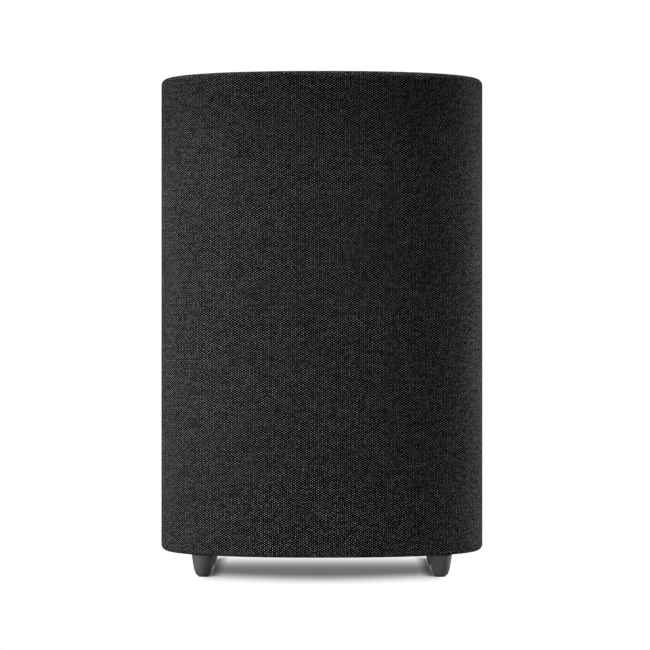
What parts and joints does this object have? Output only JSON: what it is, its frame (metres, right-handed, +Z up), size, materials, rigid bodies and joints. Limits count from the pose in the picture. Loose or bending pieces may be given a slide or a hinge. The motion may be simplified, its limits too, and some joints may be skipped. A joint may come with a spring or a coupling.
{
  "type": "subwoofer",
  "caption": "Slim upright subwoofer: oval cabinet in a dark woven sleeve on tapered feet, with a down-firing woofer, a reflex port and a recessed rear panel.",
  "frame": {"origin": "on the floor under the centre of the oval plan", "axes": "+Z up, the front faces -Y, +X is to the right of someone who faces the front"},
  "size_m": [0.34, 0.19, 0.52],
  "materials": {
    "fabric": "charcoal and black plain weave, matte",
    "felt": "loose grey felt",
    "moulding": "near-black moulded plastic, fine satin grain",
    "foot": "dark grey moulded plastic, fine grain",
    "fibreboard": "bare medium-density fibreboard",
    "rubber": "soft black rubber",
    "foam": "closed-cell foam strip",
    "paper": "coated pulp paper, dark grey",
    "spider": "resin-treated woven cloth",
    "film": "amber film",
    "copper": "enamelled copper",
    "ferrite": "sintered ferrite, dark grey",
    "plated_steel": "zinc-plated steel",
    "painted_steel": "black powder coat",
    "aluminium": "plain extruded aluminium",
    "circuit": "green solder mask",
    "lens": "milky clear plastic"
  },
  "bodies": {
    "cabinet": {"fabric_sleeve": "fabric", "felt_lining": "felt", "cabinet_shell": "moulding", "base_cover": "moulding", "top_cover": "moulding", "reflex_port": "moulding", "rear_bezel": "moulding", "rear_panel": "moulding", "amplifier_housing": "moulding", "mains_inlet": "moulding", "baffle_board": "fibreboard", "top_board": "fibreboard", "cabinet_brace": "fibreboard", "woofer_basket": "painted_steel", "woofer_gasket": "foam", "surround": "rubber", "spider": "spider", "front_plate": "plated_steel", "magnet_ring": "ferrite", "magnet_yoke": "plated_steel", "terminal_strip": "circuit", "braided_lead_left": "copper", "braided_lead_right": "copper", "tactile_switch": "painted_steel", "lamp_lens": "lens", "amplifier_board": "circuit", "supply_board": "circuit", "transformer": "ferrite", "bulk_capacitor": "film", "heat_sink": "aluminium", "wireless_module": "aluminium", "woofer_cable": "rubber", "foot_front_left": "foot", "foot_pad_front_left": "rubber", "foot_screw_front_left": "plated_steel", "foot_front_right": "foot", "foot_pad_front_right": "rubber", "foot_screw_front_right": "plated_steel", "foot_rear_left": "foot", "foot_pad_rear_left": "rubber", "foot_screw_rear_left": "plated_steel", "foot_rear_right": "foot", "foot_pad_rear_right": "rubber", "foot_screw_rear_right": "plated_steel", "woofer_screw_1": "painted_steel", "woofer_screw_2": "painted_steel", "woofer_screw_3": "painted_steel", "woofer_screw_4": "painted_steel", "woofer_screw_5": "painted_steel", "woofer_screw_6": "painted_steel", "panel_screw_1": "painted_steel", "panel_screw_2": "painted_steel", "panel_screw_3": "painted_steel", "panel_screw_4": "painted_steel"},
    "cone_assembly": {"woofer_cone": "paper", "dust_cap": "paper", "coil_former": "film", "voice_coil": "copper"},
    "button": {"pairing_button": "moulding"},
    "plunger": {"switch_plunger": "lens"}
  },
  "joints": [
    {"name": "cone_travel", "type": "slide", "parent": "cabinet", "child": "cone_assembly", "axis": [0, 0, -1], "range_m": [-0.005, 0.005], "stiffness_N_per_m": 2500, "deforming": ["surround", "spider", "braided_lead_left", "braided_lead_right"]},
    {"name": "button_press", "type": "slide", "parent": "cabinet", "child": "button", "axis": [0, -1, 0], "range_m": [0, 0.0008]},
    {"name": "plunger_press", "type": "slide", "parent": "cabinet", "child": "plunger", "axis": [0, -1, 0], "range_m": [0, 0.0006]}
  ],
  "couplings": [
    {"joint": "plunger_press", "follows": "button_press", "ratio": 0.6875}
  ]
}
